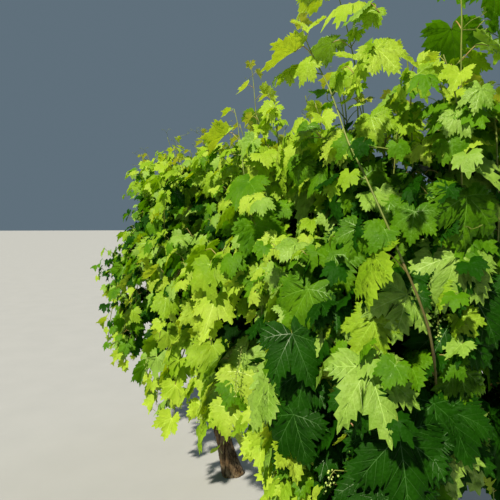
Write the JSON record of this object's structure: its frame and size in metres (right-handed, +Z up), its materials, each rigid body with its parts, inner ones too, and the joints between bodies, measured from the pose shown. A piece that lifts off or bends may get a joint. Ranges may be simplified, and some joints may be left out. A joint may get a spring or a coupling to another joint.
{
  "type": "grapevine",
  "caption": "Hedge-trained grapevine: a leaning trunk, two horizontal arms along the row, and leafy lobed foliage masses with tall shoots above.",
  "frame": {"origin": "middle of the flat cut where the trunk meets the ground", "axes": "+X along the row, from the far arm's end to the near arm's end; +Y across the row, away from the pictured side; +Z up"},
  "size_m": [2.7475, 1.0172, 2.3944],
  "materials": {
    "trunk_bark": "grey-brown fibrous bark that peels in long strips",
    "arm_bark": "grey-brown bark in long thin strips, lighter than the trunk",
    "foliage": "satin leaf green with pale veins, yellower where the light comes through"
  },
  "bodies": {
    "root": {"trunk": "trunk_bark", "arm_far": "arm_bark", "arm_near": "arm_bark", "foliage_01": "foliage", "foliage_02": "foliage", "foliage_03": "foliage", "foliage_04": "foliage", "foliage_05": "foliage", "foliage_06": "foliage", "foliage_07": "foliage", "foliage_08": "foliage", "foliage_09": "foliage", "foliage_10": "foliage"}
  },
  "joints": []
}
